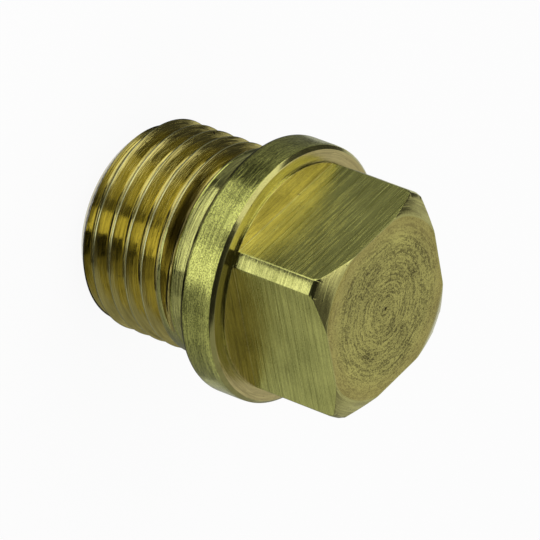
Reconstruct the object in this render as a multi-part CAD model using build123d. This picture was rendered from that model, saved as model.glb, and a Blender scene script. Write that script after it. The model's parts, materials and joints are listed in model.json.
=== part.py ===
from build123d import *
import os
from math import radians, tan

# Square-head pipe plug, turned and milled from one piece of brass bar.
# It stands on the end of its thread with the head up. The origin is the centre of the
# collar's sealing face, and Z runs along the turning axis towards the head. Millimetres.

# Threaded shank, for a one-eighth-inch parallel pipe thread. Its blank is turned to the thread's
# outside diameter, with a lead chamfer at the end.
thread_diameter = 9.728
shank_length = 7.15
lead_chamfer = 0.88

# Collar that seals on the rim of the port
seat_width = 1.12
collar_thickness = 1.86
collar_back_chamfer = 0.14
collar_front_chamfer = 0.21

# Head, turned round with a cone at its end, then milled to a square for the spanner
ledge_width = 0.745
head_height = 4.92
end_chamfer_width = 1.02
end_chamfer_angle = 26.0
square_across_flats = 7.9
milling_step = 0.12

# Radii and levels of the turned outline
thread_radius = thread_diameter / 2
collar_radius = thread_radius + seat_width
corner_radius = collar_radius - ledge_width
end_face_radius = corner_radius - end_chamfer_width
head_end = collar_thickness + head_height
cone_start = head_end - end_chamfer_width * tan(radians(end_chamfer_angle))
milled_floor = collar_thickness + milling_step


def turned_blank():
    """The bar as it leaves the lathe: half its outline, turned about the axis."""
    shank = [
        (0, -shank_length),
        (thread_radius - lead_chamfer, -shank_length),
        (thread_radius, lead_chamfer - shank_length),
        (thread_radius, 0),
    ]
    collar = [
        (collar_radius - collar_back_chamfer, 0),
        (collar_radius, collar_back_chamfer),
        (collar_radius, collar_thickness - collar_front_chamfer),
        (collar_radius - collar_front_chamfer, collar_thickness),
    ]
    head = [
        (corner_radius, collar_thickness),
        (corner_radius, cone_start),
        (end_face_radius, head_end),
        (0, head_end),
    ]
    outline = Polyline(*shank, *collar, *head, close=True)
    return revolve(Plane.XZ * make_face(outline), axis=Axis.Z)


def milled_sides():
    """What the cutter takes off: all outside the square, down to a floor just above the collar."""
    reach = Circle(2 * corner_radius)
    square = Rectangle(square_across_flats, square_across_flats)
    return Pos(0, 0, milled_floor) * extrude(reach - square, amount=head_height)


plug_body = turned_blank() - milled_sides()
plug_body.label = "plug_body"

os.makedirs("parts", exist_ok=True)
export_step(plug_body, "parts/plug_body.step")
print("volume", round(plug_body.volume, 1), "faces", len(plug_body.faces()), "valid", plug_body.is_valid)
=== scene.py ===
import json

import bmesh
import bpy
import numpy as np
from mathutils import Matrix, Vector


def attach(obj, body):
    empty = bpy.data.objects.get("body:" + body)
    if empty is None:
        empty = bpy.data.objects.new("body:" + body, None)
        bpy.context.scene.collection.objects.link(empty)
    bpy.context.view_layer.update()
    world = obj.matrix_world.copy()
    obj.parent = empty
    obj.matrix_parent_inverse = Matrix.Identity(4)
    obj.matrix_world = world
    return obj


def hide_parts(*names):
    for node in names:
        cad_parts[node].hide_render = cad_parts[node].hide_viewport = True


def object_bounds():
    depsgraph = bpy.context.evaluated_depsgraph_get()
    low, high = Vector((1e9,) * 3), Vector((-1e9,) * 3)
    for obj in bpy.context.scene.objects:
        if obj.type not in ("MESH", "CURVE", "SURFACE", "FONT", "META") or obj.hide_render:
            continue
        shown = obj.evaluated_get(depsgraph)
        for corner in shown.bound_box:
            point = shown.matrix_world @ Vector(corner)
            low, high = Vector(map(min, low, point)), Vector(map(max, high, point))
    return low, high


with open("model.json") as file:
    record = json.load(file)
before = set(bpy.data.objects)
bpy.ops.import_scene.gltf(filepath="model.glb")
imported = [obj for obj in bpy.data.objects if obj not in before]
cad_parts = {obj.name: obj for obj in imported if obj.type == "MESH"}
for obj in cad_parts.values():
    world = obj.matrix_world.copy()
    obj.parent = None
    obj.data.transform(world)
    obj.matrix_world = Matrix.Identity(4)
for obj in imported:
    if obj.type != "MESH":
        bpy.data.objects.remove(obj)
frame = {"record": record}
cad_low, cad_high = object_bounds()

# Threaded shank: the turned end of the brass bar, cut with a right-hand one-eighth-inch pipe thread.
# The tool lifts out within a quarter turn, so the last groove fades into a plain neck, and a
# 45 degree lead at the end takes the first turns down below the root.
mounts = {mount["name"]: mount for mount in frame["record"]["mounts"]}
thread_radius = mounts["thread"]["dims"]["r_mm"] / 1000
thread_end = mounts["thread_end"]["pos_m"][2]
lead = -thread_end - mounts["thread"]["dims"]["length_mm"] / 1000
neck_start = -0.001375
pitch = 0.000907
depth_to_pitch = 0.640327
groove_depth = depth_to_pitch * pitch
flank_slope = np.tan(np.radians(27.5))
crest_half = 0.000042
crest_crown = 0.000009
crest_ease = 0.000016
root_half = pitch / 2 - crest_half - groove_depth * flank_slope
run_out_height = -0.00180
run_out_angle = np.radians(-70)
run_out_turns = 0.25
run_out_lift = 1.15
first_turn = -7
last_turn = 1

# Columns of the whole surface, by angle round the axis: each quarter is a spanner flat and a turned
# corner strip, with the columns drawn close together at the strip's two edges.
half_square = mounts["spanner_flat_right"]["pos_m"][0]
collar_radius = cad_high.x
ledge_width = 0.000745
corner_radius = collar_radius - ledge_width
flat_reach = np.arccos(half_square / corner_radius)
flat_columns = 48
strip_columns = 12
flat_crowding = 0.45
strip_crowding = 0.40


def crowded(first, last, count, crowding):
    """Values from first to last, closer together at both ends: a cubic in the share of the way."""
    share = np.linspace(-1, 1, count + 1)
    eased = share * (1 + crowding) - crowding * share**3
    return (first + last) / 2 + (last - first) / 2 * eased


quarter = np.concatenate([
    crowded(-flat_reach, flat_reach, flat_columns, flat_crowding)[:-1],
    crowded(flat_reach, np.pi / 2 - flat_reach, strip_columns, strip_crowding)[:-1],
])
angles = np.concatenate([quarter + turn * np.pi / 2 for turn in range(4)] + [[2 * np.pi - flat_reach]])
from_flat = np.mod(angles + np.pi / 4, np.pi / 2) - np.pi / 4
on_strip = np.tile(np.arange(flat_columns + strip_columns) >= flat_columns, 4)

thread_cut, turned, faced, end_faced, floor_milled, side_milled, coned, fine_turned, crested = range(9)
patches = []


def add_patch(radius, height, painted_shade, grain, finish):
    """Keeps a grid of rows up the plug by columns round it. A point lies at its radius, angle and
    height, the shade value is how much painted shade darkens it, grain is its distance across the tool
    marks, and finish is a number for all faces, for each column of faces or for each face."""
    radius, height, painted_shade, grain = np.broadcast_arrays(radius, height, painted_shade, grain, angles)[:4]
    points = np.stack([radius * np.cos(angles), radius * np.sin(angles), height], axis=-1)
    patches.append((points, np.stack([painted_shade, grain], axis=-1), finish))


def cell_corners(grid):
    """The values at the four corners of each cell of a grid, in order round the cell."""
    return np.stack([grid[:-1, :-1], grid[:-1, 1:], grid[1:, 1:], grid[1:, :-1]], axis=2)


def smooth_step(value, low, high):
    """0 below low, 1 above high, and between them the cubic 3s^2 - 2s^3 of the share s of the way."""
    share = np.clip((value - low) / (high - low), 0, 1)
    return share * share * (3 - 2 * share)


def eased_corner(before, corner, after, ease, shares):
    """Points of a parabola that rounds a corner, from ease along one side to ease along the other, or
    to the middle of a side that is shorter than twice that."""
    def towards(other):
        length = np.linalg.norm(other - corner, axis=-1, keepdims=True)
        share = np.minimum(ease / np.maximum(length, 1e-12), 0.5)
        return corner + (other - corner) * share
    on = np.reshape(shares, (-1,) + (1,) * corner.ndim)
    return (1 - on) ** 2 * towards(before) + 2 * on * (1 - on) * corner + on**2 * towards(after)


def half_groove(depth):
    """Half of a groove's section for each depth, from the middle of its root to the middle of the
    crest: a round root, a straight flank and a narrow, crowned crest with eased edges. Each point is
    its distance along the axis from the groove's middle, and its depth."""
    level = np.zeros_like(depth)
    crown = crest_crown * depth / groove_depth
    root_edge = np.stack([level + root_half, depth], axis=-1)
    root_mirror = np.stack([level - root_half, depth], axis=-1)
    crest_edge = np.stack([root_half + (depth - crown) * flank_slope, crown], axis=-1)
    crest_middle = np.stack([level + pitch / 2, level], axis=-1)
    root_curve = eased_corner(root_mirror, root_edge, crest_edge, root_half, np.linspace(0, 1, 6))
    crest_curve = eased_corner(root_edge, crest_edge, crest_middle, crest_ease, np.linspace(0, 1, 5))
    flank_middle = (root_curve[-1:] + crest_curve[:1]) / 2
    return np.concatenate([root_curve, flank_middle, crest_curve, crest_middle[None]])


# Turns of the groove by columns: how many turns past the start of the run-out, and how deep. The
# sections of all the turns, one above the other, make the rows of the thread.
turn_numbers = np.arange(first_turn, last_turn + 1)[:, None]
past_run_out = turn_numbers + (angles - run_out_angle) / (2 * np.pi)
lift_share = 1 - np.cos(2 * np.pi * np.clip(past_run_out, 0, run_out_turns))
half = half_groove(np.maximum(groove_depth - run_out_lift * groove_depth * lift_share, 0))
mirrored = np.stack([-half[:0:-1, ..., 0], half[:0:-1, ..., 1]], axis=-1)
section = np.concatenate([mirrored, half[:-1]]).swapaxes(0, 1).reshape(-1, len(angles), 2)
section_along, section_depth = section[..., 0], section[..., 1]
rows_a_turn = len(section) // len(turn_numbers)
helix_place = np.repeat(past_run_out, rows_a_turn, axis=0)
thread_height = np.clip(run_out_height + pitch * helix_place + section_along, thread_end, neck_start)
lead_surface = thread_radius - lead + (thread_height - thread_end)
thread_surface = np.minimum(thread_radius - section_depth, lead_surface)

# Tool marks, finish and painted shade of the thread: crests rubbed bright, and dark painted shade in the
# last groove, deeper towards its root, where it fades out, and on the lead. Places on the helix are in
# turns from the run-out's start.
marks_a_turn = 0.0004
crest_depth = 1.1 * crest_crown
neck_place = 0.06
groove_shade_starts = (-0.07, 0.01)
groove_shade_ends = (0.06, 0.17)
groove_shade_depths = (0.00001, 0.00005)
groove_shade_strength = 0.8
lead_shade_strength = 0.6
least_lead_cut = 0.000001
thread_marks = section_along + section_depth + marks_a_turn * helix_place
on_crest = cell_corners(section_depth < crest_depth).all(axis=2)
crest_finish = np.where(helix_place[:-1, :-1] > neck_place, fine_turned, crested)
thread_finish = np.where(on_crest, crest_finish, thread_cut)
# Painted shade: the last groove is painted darker the deeper it goes, where the groove fades out, and
# the lead is painted darker too.
last_groove = smooth_step(helix_place, *groove_shade_starts) * (1 - smooth_step(helix_place, *groove_shade_ends))
groove_shade = groove_shade_strength * last_groove * smooth_step(section_depth, *groove_shade_depths)
lead_shade = lead_shade_strength * (thread_surface < thread_radius - section_depth - least_lead_cut)
thread_shade = np.maximum(groove_shade, lead_shade)

# The end that the plug stands on is a plain disc, from the axis out to the lead.
end_rows = 8
end_radius = np.linspace(0, 1, end_rows + 1)[:, None] * (thread_radius - lead)
add_patch(end_radius, thread_end, 0, end_radius, end_faced)
add_patch(thread_surface, thread_height, thread_shade, thread_marks, thread_finish)

# Neck, collar and square head: one turned outline of the same bar, from the thread to the head's end.
# The collar's edges are broken by the turning tool. The head is turned round, with a cone at its
# end, and then milled to a square whose floors stop just above the collar's face.
neck_relief = 0.000006
neck_line_depth = 0.00003
neck_line_width = 0.00006
collar_thickness = 0.00186
back_chamfer = 0.00014
front_chamfer = 0.00016
front_margin = 0.00022
front_drop = 0.00002
milling_step = 0.00012
head_end = mounts["head_end"]["pos_m"][2]
end_chamfer_width = 0.00102
cone_slope = np.tan(np.radians(26))
edge_softness = 0.000014
flat_top_ease = 0.00002
strip_top_ease = 0.00026
strip_edge = (0.00010, 0.00002)
pip_radius = 0.00009
pip_depth = 0.00004
neck_radius = thread_radius - neck_relief
front_radius = collar_radius - front_drop
front_height = collar_thickness - front_chamfer
milled_floor = collar_thickness + milling_step
end_face_radius = corner_radius - end_chamfer_width

# The head by columns: its side is the lesser of the flat's radius and the turned corner's, with a
# softened edge between the two, and its top follows the cone, more eased on the strips.
flat_radius = half_square / np.cos(from_flat)
side_radius = -edge_softness * np.logaddexp(-flat_radius / edge_softness, -corner_radius / edge_softness)
side_top = head_end - np.maximum(side_radius - end_face_radius, 0) * cone_slope
face_radius = np.minimum(end_face_radius, side_radius)
strip_share = smooth_step(side_radius, corner_radius - strip_edge[0], corner_radius - strip_edge[1])
side_top_ease = flat_top_ease + (strip_top_ease - flat_top_ease) * strip_share[:, None]

# Corners of the outline: radius, height, and how far the corner is eased along its two sides.
outline = [
    (thread_radius, neck_start, 0),
    (thread_radius - neck_line_depth, neck_start + neck_line_width / 2, 0.00001),
    (neck_radius, neck_start + neck_line_width, 0.00001),
    (neck_radius, 0, 0.00007),
    (collar_radius - back_chamfer, 0, 0.00003),
    (collar_radius, back_chamfer, 0.00016),
    (collar_radius, front_height - front_margin, 0.00012),
    (front_radius, front_height, 0.00003),
    (front_radius - front_chamfer, collar_thickness, 0.00003),
    (corner_radius, collar_thickness, 0.00001),
    (corner_radius, milled_floor, 0.000015),
    (side_radius, milled_floor, 0.000015),
    (side_radius, side_top, side_top_ease),
    (face_radius, head_end, 0.00020),
    (pip_radius, head_end, 0.00002),
    (0, head_end - pip_depth, 0),
]

# Stretches between those corners: rows, the finish, and what the tool marks run across, as shares
# of height, radius and distance from the axis square to the flat.
stretches = [
    (1, turned, (1, 0, 0)),
    (1, turned, (1, 0, 0)),
    (6, fine_turned, (1, 0, 0)),
    (6, faced, (0, 1, 0)),
    (1, turned, (1, 1, 0)),
    (10, turned, (1, 0, 0)),
    (3, turned, (1, 0, 0)),
    (2, coned, (1, 1, 0)),
    (4, faced, (0, 1, 0)),
    (1, turned, (1, 0, 0)),
    (6, floor_milled, (0, 0, 1)),
    (16, np.where(on_strip, fine_turned, side_milled), (1, 0, 0)),
    (6, coned, (1, 1, 0)),
    (16, end_faced, (0, 1, 0)),
    (2, end_faced, (0, 1, 0)),
]

# Each stretch runs from the middle of one eased corner to the middle of the next. Shade is painted on
# the collar's back edge and in the pip, the small hollow in the middle of the head's end.
back_shade_strength = 0.8
back_shade_radius = collar_radius - 1.2 * back_chamfer
back_shade_top = 2 * back_chamfer
pip_shade_strength = 0.9
pip_shade_radius = 0.9 * pip_radius
corners = np.stack([
    np.stack([np.broadcast_to(radius, angles.shape), np.broadcast_to(height, angles.shape)], axis=-1)
    for radius, height, ease in outline
])
corners = np.concatenate([corners[:1], corners, corners[-1:]])
eases = [ease for radius, height, ease in outline]
for number, (steps, finish, marks) in enumerate(stretches):
    lower = eased_corner(*corners[number:number + 3], eases[number], [0.5, 0.75, 1])
    upper = eased_corner(*corners[number + 1:number + 4], eases[number + 1], [0, 0.25, 0.5])
    straight = np.linspace(0, 1, steps + 1)[1:-1, None, None]
    rows = np.concatenate([lower, lower[-1] + (upper[0] - lower[-1]) * straight, upper])
    row_radius, row_height = rows[..., 0], rows[..., 1]
    row_marks = marks[0] * row_height + marks[1] * row_radius + marks[2] * row_radius * np.cos(from_flat)
    # Painted shade on the collar's back chamfer, fading out up the rim.
    back_edge = (row_radius > back_shade_radius) & (row_height < back_shade_top)
    back_shade = back_shade_strength * back_edge * (1 - smooth_step(row_height, back_chamfer, back_shade_top))
    # Painted shade in the pip's hollow.
    pip_shade = pip_shade_strength * (row_radius < pip_shade_radius)
    add_patch(row_radius, row_height, np.maximum(back_shade, pip_shade), row_marks, finish)


# Bare brass, as the tools leave it: each surface has its own marks, colour and gloss.
# The marks and the wear are shader groups that all the finishes share.
def new_group(name, inputs, outputs):
    """An empty shader node group with named number inputs and outputs, with its two end nodes."""
    group = bpy.data.node_groups.new(name, "ShaderNodeTree")
    for label, value in inputs.items():
        socket = group.interface.new_socket(label, in_out="INPUT", socket_type="NodeSocketFloat")
        socket.default_value = value
    for label in outputs:
        group.interface.new_socket(label, in_out="OUTPUT", socket_type="NodeSocketFloat")
    return group, group.nodes.new("NodeGroupInput"), group.nodes.new("NodeGroupOutput")


def add_node(tree, kind, sockets=(), **settings):
    """A node of that kind, with its settings, and each socket set to a value or linked to an output."""
    node = tree.nodes.new(kind)
    for name, value in settings.items():
        setattr(node, name, value)
    for name, value in dict(sockets).items():
        if isinstance(value, bpy.types.NodeSocket):
            tree.links.new(value, node.inputs[name])
        else:
            node.inputs[name].default_value = value
    return node


def maths(tree, operation, first, second):
    """The result of one arithmetic step on two values or outputs."""
    return add_node(tree, "ShaderNodeMath", {0: first, 1: second}, operation=operation).outputs[0]


def noise(tree, spot, scale, detail):
    """Smooth noise at a spot, about 0.5, with so many finer layers."""
    sockets = {"Vector": spot, "Scale": scale, "Detail": detail}
    return add_node(tree, "ShaderNodeTexNoise", sockets).outputs["Fac"]


def ramp(tree, value, low, high, least=0.0, most=1.0):
    """The value carried from low and high to least and most, and held there beyond them."""
    sockets = {"Value": value, "From Min": low, "From Max": high, "To Min": least, "To Max": most}
    return add_node(tree, "ShaderNodeMapRange", sockets).outputs["Result"]


scratch_height = -0.5
grit_height = 0.2


def tool_marks_group():
    """Long fine lines: noise that changes fast across the marks and slowly along them, with the even
    ridges of the tool's feed, some sharp scratches, and a grit that runs neither way."""
    group, given, result = new_group(
        "tool_marks",
        {"Across": 15000.0, "Along": 200.0, "Grit": 0.0, "Feed": 0.0, "Ridge": 0.0},
        ["Height", "Streak"],
    )
    grain = add_node(group, "ShaderNodeUVMap", uv_map="grain")
    across = add_node(group, "ShaderNodeSeparateXYZ", {0: grain.outputs["UV"]}).outputs["Y"]
    place = add_node(group, "ShaderNodeTexCoord").outputs["Object"]
    split = add_node(group, "ShaderNodeSeparateXYZ", {0: place}).outputs
    stretched = {
        "X": maths(group, "MULTIPLY", split["X"], given.outputs["Along"]),
        "Y": maths(group, "MULTIPLY", split["Y"], given.outputs["Along"]),
        "Z": maths(group, "MULTIPLY", across, given.outputs["Across"]),
    }
    spot = add_node(group, "ShaderNodeCombineXYZ", stretched).outputs[0]
    fine_lines = noise(group, spot, scale=1.0, detail=2.0)
    broad_lines = noise(group, spot, scale=0.3, detail=3.0)
    lines = maths(group, "ADD", fine_lines, broad_lines)
    feed = maths(group, "SINE", maths(group, "MULTIPLY", across, given.outputs["Feed"]), 0.0)
    ridges = maths(group, "MULTIPLY", feed, given.outputs["Ridge"])
    sharp_lines = ramp(group, noise(group, spot, scale=1.6, detail=1.0), low=0.56, high=0.66)
    scratches = maths(group, "MULTIPLY", sharp_lines, scratch_height)
    cut = maths(group, "ADD", maths(group, "ADD", lines, ridges), scratches)
    speckle = maths(group, "SUBTRACT", noise(group, place, scale=16000.0, detail=1.0), 0.5)
    grit = maths(group, "MULTIPLY", speckle, given.outputs["Grit"])
    height = maths(group, "ADD", cut, maths(group, "MULTIPLY", grit, grit_height))
    streak = ramp(group, maths(group, "ADD", cut, grit), low=0.7, high=1.3)
    group.links.new(height, result.inputs["Height"])
    group.links.new(streak, result.inputs["Streak"])
    return group


def wear_group():
    """Tarnish in soft clouds, and small pits round some of the points of a scattered pattern."""
    group, given, result = new_group("wear", {"Cloud": 500.0, "Pit": 1500.0}, ["Tarnish", "Pits"])
    place = add_node(group, "ShaderNodeTexCoord").outputs["Object"]
    clouds = noise(group, place, scale=given.outputs["Cloud"], detail=4.0)
    tarnish = ramp(group, clouds, low=0.35, high=0.65)
    cells = add_node(group, "ShaderNodeTexVoronoi", {"Vector": place, "Scale": given.outputs["Pit"]})
    chance = add_node(group, "ShaderNodeSeparateColor", {0: cells.outputs["Color"]}).outputs["Red"]
    reach = ramp(group, chance, low=0.4, high=1.0, most=0.11)
    pits = maths(group, "LESS_THAN", cells.outputs["Distance"], reach)
    group.links.new(tarnish, result.inputs["Tarnish"])
    group.links.new(pits, result.inputs["Pits"])
    return group


# What the finishes have in common. A border that begins a metre out is on no part of the plug.
tool_marks = tool_marks_group()
wear = wear_group()
streak_share = 0.7
border_tan = (0.60, 0.50, 0.15)
border_width = 0.0008
border_share = 0.55
no_border = 1.0
pit_black = (0.03, 0.025, 0.01)
# The brown that painted shade darkens the brass towards.
shade_brown = (0.035, 0.022, 0.006)
gloss_spread = 0.15
quarter_turn = 0.25


def mixed_colour(tree, share, first, second):
    """A colour between an output or a colour and a second colour, by a share that changes over the
    surface."""
    start = first if isinstance(first, bpy.types.NodeSocket) else (*first, 1)
    sockets = {0: share, 6: start, 7: (*second, 1)}
    return add_node(tree, "ShaderNodeMix", sockets, data_type="RGBA").outputs[2]


def brass(name, bright, dull, marking, depth, roughness, stretch, pit, border=no_border):
    """Bare brass: bright and dull colours by streak and tarnish, then a tan border from a distance
    across the marks outwards, pits so many to the metre, and painted shade, a brown that the grain map's
    first layer mixes in. marking is what the tool marks are given, depth is their height in metres, and
    stretch draws reflections out across them."""
    material = bpy.data.materials.new(name)
    material.use_nodes = True
    tree = material.node_tree
    marks = add_node(tree, "ShaderNodeGroup", marking, node_tree=tool_marks)
    worn = add_node(tree, "ShaderNodeGroup", {"Pit": pit}, node_tree=wear)
    streaked = maths(tree, "MULTIPLY", marks.outputs["Streak"], streak_share)
    clouded = maths(tree, "MULTIPLY", worn.outputs["Tarnish"], 1 - streak_share)
    dulled = maths(tree, "ADD", streaked, clouded)
    grain = add_node(tree, "ShaderNodeUVMap", uv_map="grain")
    layers = add_node(tree, "ShaderNodeSeparateXYZ", {0: grain.outputs["UV"]}).outputs
    edge = ramp(tree, layers["Y"], low=border, high=border + border_width, most=border_share)
    colour = mixed_colour(tree, dulled, bright, dull)
    colour = mixed_colour(tree, edge, colour, border_tan)
    colour = mixed_colour(tree, worn.outputs["Pits"], colour, pit_black)
    # Painted shade: the grain map's first layer darkens the colour towards brown.
    colour = mixed_colour(tree, layers["X"], colour, shade_brown)
    glossiest = roughness * (1 - gloss_spread)
    dullest = roughness * (1 + gloss_spread)
    gloss = ramp(tree, dulled, low=0.0, high=1.0, least=glossiest, most=dullest)
    bump = add_node(tree, "ShaderNodeBump", {"Height": marks.outputs["Height"], "Distance": depth})
    tangent = add_node(tree, "ShaderNodeTangent", direction_type="RADIAL", axis="Z")
    shader = tree.nodes["Principled BSDF"]
    shader.inputs["Metallic"].default_value = 1.0
    shader.inputs["Anisotropic"].default_value = stretch
    shader.inputs["Anisotropic Rotation"].default_value = quarter_turn
    tree.links.new(tangent.outputs["Tangent"], shader.inputs["Tangent"])
    tree.links.new(colour, shader.inputs["Base Color"])
    tree.links.new(gloss, shader.inputs["Roughness"])
    tree.links.new(bump.outputs["Normal"], shader.inputs["Normal"])
    return material


# The finishes, in the order of their numbers: the cut thread, the turned collar, its faced sides, the
# two ends, the milled floors and flats, the cones, the finely turned neck and strips, and the crests.
finishes = [
    brass(
        "brass_thread", bright=(0.90, 0.79, 0.26), dull=(0.44, 0.38, 0.11),
        marking={"Across": 20000, "Along": 300, "Grit": 0.3},
        depth=5e-6, roughness=0.10, stretch=0.0, pit=1500,
    ),
    brass(
        "brass_turned", bright=(0.95, 0.98, 0.28), dull=(0.28, 0.30, 0.07),
        marking={"Across": 20000, "Along": 900, "Grit": 1.9},
        depth=5e-6, roughness=0.17, stretch=0.3, pit=4000,
    ),
    brass(
        "brass_faced", bright=(0.82, 0.70, 0.30), dull=(0.47, 0.40, 0.16),
        marking={"Across": 16000, "Along": 500, "Grit": 0.5},
        depth=4e-6, roughness=0.22, stretch=0.4, pit=2500,
    ),
    brass(
        "brass_end", bright=(0.86, 0.80, 0.23), dull=(0.14, 0.12, 0.03),
        marking={"Across": 12000, "Along": 2000, "Grit": 1.9, "Feed": 25000, "Ridge": 0.07},
        depth=7e-6, roughness=0.28, stretch=0.2, pit=4500, border=0.0031,
    ),
    brass(
        "brass_floor", bright=(0.93, 0.76, 0.34), dull=(0.38, 0.30, 0.12),
        marking={"Across": 18000, "Along": 400, "Grit": 0.9},
        depth=4e-6, roughness=0.18, stretch=0.5, pit=2000,
    ),
    brass(
        "brass_milled", bright=(0.88, 0.90, 0.27), dull=(0.34, 0.35, 0.09),
        marking={"Across": 20000, "Along": 250, "Grit": 0.6},
        depth=6e-6, roughness=0.26, stretch=0.5, pit=3200,
    ),
    brass(
        "brass_cone", bright=(0.80, 0.77, 0.27), dull=(0.42, 0.39, 0.13),
        marking={"Across": 18000, "Along": 600, "Grit": 0.8},
        depth=5e-6, roughness=0.20, stretch=0.4, pit=2500,
    ),
    brass(
        "brass_fine", bright=(0.99, 0.99, 0.34), dull=(0.30, 0.31, 0.08),
        marking={"Across": 16000, "Along": 400, "Grit": 0.7},
        depth=5e-6, roughness=0.12, stretch=0.3, pit=3000,
    ),
    brass(
        "brass_crest", bright=(0.98, 0.95, 0.46), dull=(0.66, 0.63, 0.26),
        marking={"Across": 16000, "Along": 400, "Grit": 0.7},
        depth=3e-6, roughness=0.25, stretch=0.0, pit=3000,
    ),
]

# The plug: all the patches joined into one closed mesh, in place of the plain solid.
# It is one piece of brass bar with nothing fixed to it.
merge_distance = 5e-7
least_edge = 5e-8
crease = np.radians(34)
vertices, faces, corner_grain, face_finish = [], [], [], []
vertex_count = 0
for points, grain, finish in patches:
    index = np.arange(points[..., 0].size).reshape(points.shape[:2]) + vertex_count
    quads = cell_corners(index)
    vertices.append(points.reshape(-1, 3))
    faces.append(quads.reshape(-1, 4))
    corner_grain.append(cell_corners(grain).reshape(-1, 2))
    face_finish.append(np.broadcast_to(finish, quads.shape[:2]).ravel())
    vertex_count += index.size

mesh = bpy.data.meshes.new("plug")
mesh.from_pydata(np.concatenate(vertices), [], np.concatenate(faces))
mesh.uv_layers.new(name="grain").data.foreach_set("uv", np.concatenate(corner_grain).ravel())
mesh.polygons.foreach_set("material_index", np.concatenate(face_finish))
for finish in finishes:
    mesh.materials.append(finish)
merged = bmesh.new()
merged.from_mesh(mesh)
bmesh.ops.remove_doubles(merged, verts=merged.verts, dist=merge_distance)
bmesh.ops.dissolve_degenerate(merged, edges=merged.edges, dist=least_edge)
merged.to_mesh(mesh)
merged.free()
mesh.shade_smooth()
mesh.set_sharp_from_angle(angle=crease)
plug = bpy.data.objects.new("plug", mesh)
bpy.context.scene.collection.objects.link(plug)
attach(plug, "root")
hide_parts("plug_body")


# Studio: a white paper floor that the plug stands on, a soft lamp, and grey cards round the plug.
# Only reflections show the cards, so that the bright brass has dark and pale things to mirror.
def light_paths(tree):
    """1 for rays from the camera, or from a mirror or glass, and 0 for the rest."""
    path = add_node(tree, "ShaderNodeLightPath").outputs
    seen = maths(tree, "MAXIMUM", path["Is Camera Ray"], path["Is Glossy Ray"])
    return maths(tree, "MAXIMUM", seen, path["Is Transmission Ray"])


def bare_material(name):
    """A new material with no nodes, and its node tree."""
    material = bpy.data.materials.new(name)
    material.use_nodes = True
    material.node_tree.nodes.clear()
    return material, material.node_tree


paper_white = (0.85, 0.85, 0.85, 1)
plain_share = 0.93
floor_reach = 1.5
sheet_steps = 48


def floor_material():
    """White paper: it takes shadows, and shows mostly plain white to the camera and to mirrors."""
    material, tree = bare_material("white_floor")
    paper = add_node(tree, "ShaderNodeBsdfDiffuse", {"Color": paper_white})
    white = add_node(tree, "ShaderNodeEmission", {"Strength": 1.0})
    share = maths(tree, "MULTIPLY", light_paths(tree), plain_share)
    mix = add_node(tree, "ShaderNodeMixShader", {0: share, 1: paper.outputs[0], 2: white.outputs[0]})
    add_node(tree, "ShaderNodeOutputMaterial", {"Surface": mix.outputs[0]})
    return material


def swept_sheet(name, azimuth, radius, height, material):
    """A sheet swept round the axis from one azimuth to another, straight from one radius and
    height to the other."""
    turn = np.radians(np.linspace(*azimuth, sheet_steps + 1))[None, :]
    reach = np.array(radius)[:, None]
    level = np.array(height)[:, None]
    points = np.stack([reach * np.cos(turn), reach * np.sin(turn), level + 0 * turn], axis=-1)
    index = np.arange(points[..., 0].size).reshape(points.shape[:2])
    sheet = bpy.data.meshes.new(name)
    sheet.from_pydata(points.reshape(-1, 3), [], cell_corners(index).reshape(-1, 4))
    sheet.materials.append(material)
    made = bpy.data.objects.new(name, sheet)
    bpy.context.scene.collection.objects.link(made)
    return made


def card(name, azimuth, radius, height, grey):
    """A grey card that shows only in reflections."""
    material, tree = bare_material(name)
    glow = add_node(tree, "ShaderNodeEmission", {"Color": (grey, grey, grey, 1), "Strength": 1.0})
    add_node(tree, "ShaderNodeOutputMaterial", {"Surface": glow.outputs[0]})
    made = swept_sheet(name, azimuth, radius, height, material)
    made.visible_camera = False
    made.visible_diffuse = False
    made.visible_shadow = False


swept_sheet("floor", (0, 360), (0, floor_reach), (thread_end, thread_end), floor_material())

# Rings of cards just above the floor, one outside the other, each where some of the plug's surfaces
# mirror it. A ring has its outer radius and its cards, each with the azimuth where it ends and its grey.
card_level = thread_end + 0.00015
wall_radius = 0.075
ring_start = 0.0042
rings = [
    (0.0062, [("black_foot", 180, 0.03)]),
    (0.0113, [
        ("near_left", -98, 0.07), ("near_amber", -54, 0.42), ("near_dark", -43, 0.08),
        ("near_bright", -24, 0.90), ("near_black", -2, 0.00), ("near_right", 180, 0.15),
    ]),
    (0.0132, [("groove_left", -105, 0.22), ("groove_black", -11, 0.04), ("groove_right", 180, 0.25)]),
    (0.0165, [
        ("middle_left", -96, 0.08), ("middle_pale", -62, 1.00), ("middle_half", -42, 0.80),
        ("middle_bright", -16, 1.00), ("middle_dark", 8, 0.15), ("middle_grey", 30, 0.36),
        ("middle_dim", 70, 0.14), ("middle_back", 180, 0.40),
    ]),
    (0.0195, [
        ("rim_left", -120, 0.20), ("rim_dark", -82, 0.06), ("rim_half", -50, 0.52),
        ("rim_bright", -19, 1.00), ("rim_shade", 8, 0.14), ("rim_grey", 180, 0.22),
    ]),
    (wall_radius, [
        ("far_left", -98, 0.17), ("far_half", -60, 0.95), ("far_shade", -46, 0.12),
        ("far_bright", -12, 1.00), ("far_grey", 60, 0.42), ("far_dim", 120, 0.22),
        ("far_back", 180, 0.65),
    ]),
]
for ring_end, ring_cards in rings:
    card_start = -180
    for name, card_end, grey in ring_cards:
        card(name, (card_start, card_end), (ring_start, ring_end), (card_level, card_level), grey)
        card_start = card_end
    ring_start = ring_end

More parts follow.
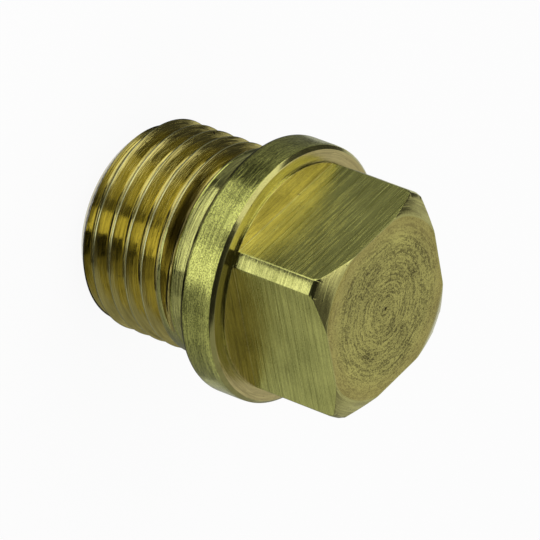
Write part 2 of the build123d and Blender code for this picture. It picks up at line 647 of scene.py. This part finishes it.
# Cards that stand round the plug as a wall, and lie over it as a ceiling.
wall = (wall_radius, wall_radius)
eye_level = 0.020
brow_level = 0.075
ceiling = 0.130
card("black_gap_wall", (-68, -47), wall, (thread_end, eye_level), 0.05)
card("black_front_wall", (-47, 25), wall, (thread_end, eye_level), 0.03)
card("black_front", (-75, 25), wall, (eye_level, ceiling), 0.02)
card("window", (-138, -75), wall, (eye_level, ceiling), 0.98)
card("dim_right", (25, 100), wall, (thread_end, ceiling), 0.24)
card("pale_back", (100, 167), wall, (thread_end, ceiling), 0.46)
card("black_left", (167, 222), wall, (thread_end, brow_level), 0.05)
card("black_ceiling", (-90, 120), (wall_radius, 0), (ceiling, ceiling), 0.09)
card("pale_ceiling", (120, 180), (wall_radius, 0), (ceiling, ceiling), 0.57)

# The room lights the floor with a soft grey, and shows white to the camera and to mirrors.
room_grey = (0.7, 0.7, 0.7, 1)
plain_white = (1, 1, 1, 1)
world = bpy.data.worlds.new("studio")
world.use_nodes = True
tree = world.node_tree
tree.nodes.clear()
room = add_node(tree, "ShaderNodeBackground", {"Color": room_grey, "Strength": 1.0})
white = add_node(tree, "ShaderNodeBackground", {"Color": plain_white, "Strength": 1.0})
sides = {0: light_paths(tree), 1: room.outputs[0], 2: white.outputs[0]}
shown = add_node(tree, "ShaderNodeMixShader", sides)
add_node(tree, "ShaderNodeOutputWorld", {"Surface": shown.outputs[0]})
bpy.context.scene.world = world


def toward(azimuth, elevation):
    """Unit vector at an azimuth from +X and an elevation, in degrees."""
    turn, rise = np.radians(azimuth), np.radians(elevation)
    return Vector((np.cos(turn) * np.cos(rise), np.sin(turn) * np.cos(rise), np.sin(rise)))


# The lamp is a square one, turned to the plug. It lights the floor, and reflections don't show it.
lamp_side = toward(azimuth=-105, elevation=40)
lamp_distance = 0.07
light = bpy.data.lights.new("key_lamp", "AREA")
light.size = 0.05
light.energy = 0.011
lamp = bpy.data.objects.new("key_lamp", light)
lamp.location = lamp_side * lamp_distance
lamp.rotation_euler = lamp_side.to_track_quat("Z", "Y").to_euler()
lamp.visible_glossy = False
bpy.context.scene.collection.objects.link(lamp)

# Camera: the photograph's view of the plug, from the front and above, rolled so that the
# plug's axis runs down to the right.
camera_side = toward(azimuth=-48.10, elevation=32.97)
camera_roll = np.radians(110.64)
camera_distance = 0.27137
aim = Vector((0.0000056, 0.000281, 0.000317))
camera_data = bpy.data.cameras.new("camera")
camera_data.sensor_width = 36.0
camera_data.lens = 409.5
camera_data.clip_start = 0.02
camera_data.clip_end = 20.0
camera = bpy.data.objects.new("camera", camera_data)
stand = Matrix.Translation(aim + camera_side * camera_distance)
facing = camera_side.to_track_quat("Z", "Y").to_matrix().to_4x4()
camera.matrix_world = stand @ facing @ Matrix.Rotation(camera_roll, 4, "Z")
bpy.context.scene.collection.objects.link(camera)
bpy.context.scene.camera = camera
bpy.context.scene.view_settings.view_transform = "Standard"
